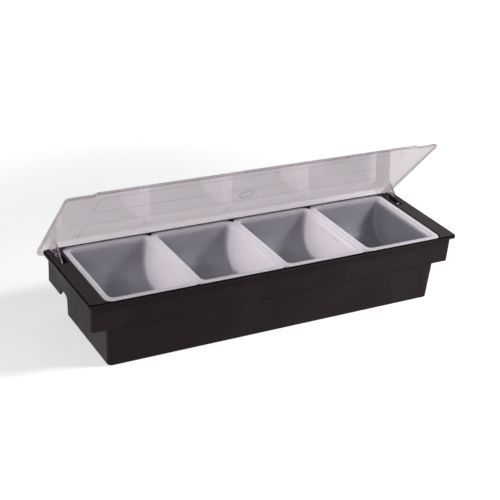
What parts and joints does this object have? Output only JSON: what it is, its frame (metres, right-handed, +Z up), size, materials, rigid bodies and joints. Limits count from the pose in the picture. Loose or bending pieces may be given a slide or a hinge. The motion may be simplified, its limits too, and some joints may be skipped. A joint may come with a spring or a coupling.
{
  "type": "condiment caddy",
  "caption": "Black tabletop condiment caddy with lift-out white inserts in a row and a long clear lid hinged along the back.",
  "frame": {"origin": "on the resting face under the middle of the base", "axes": "+X along the row of inserts to the viewer's right from the front, -Y to the serving side, +Y to the hinge side, +Z up"},
  "size_m": [0.505, 0.1645, 0.1916],
  "materials": {
    "black_plastic": "satin moulded black plastic",
    "insert_plastic": "slightly translucent white moulded plastic",
    "clear_plastic": "clear glossy moulded plastic"
  },
  "bodies": {
    "caddy_base": {"base_housing": "black_plastic"},
    "lid": {"clear_lid": "clear_plastic"},
    "insert_1": {"insert_tray_1": "insert_plastic"},
    "insert_2": {"insert_tray_2": "insert_plastic"},
    "insert_3": {"insert_tray_3": "insert_plastic"},
    "insert_4": {"insert_tray_4": "insert_plastic"}
  },
  "joints": [
    {"name": "lid_hinge", "type": "hinge", "parent": "caddy_base", "child": "lid", "pos_m": [0, 0.064, 0.066], "axis": [-1, 0, 0], "range_deg": [-49, 51]},
    {"name": "insert_1_lift", "type": "slide", "parent": "caddy_base", "child": "insert_1", "axis": [0, 0, 1], "range_m": [0, 0.006]},
    {"name": "insert_2_lift", "type": "slide", "parent": "caddy_base", "child": "insert_2", "axis": [0, 0, 1], "range_m": [0, 0.006]},
    {"name": "insert_3_lift", "type": "slide", "parent": "caddy_base", "child": "insert_3", "axis": [0, 0, 1], "range_m": [0, 0.006]},
    {"name": "insert_4_lift", "type": "slide", "parent": "caddy_base", "child": "insert_4", "axis": [0, 0, 1], "range_m": [0, 0.006]}
  ]
}
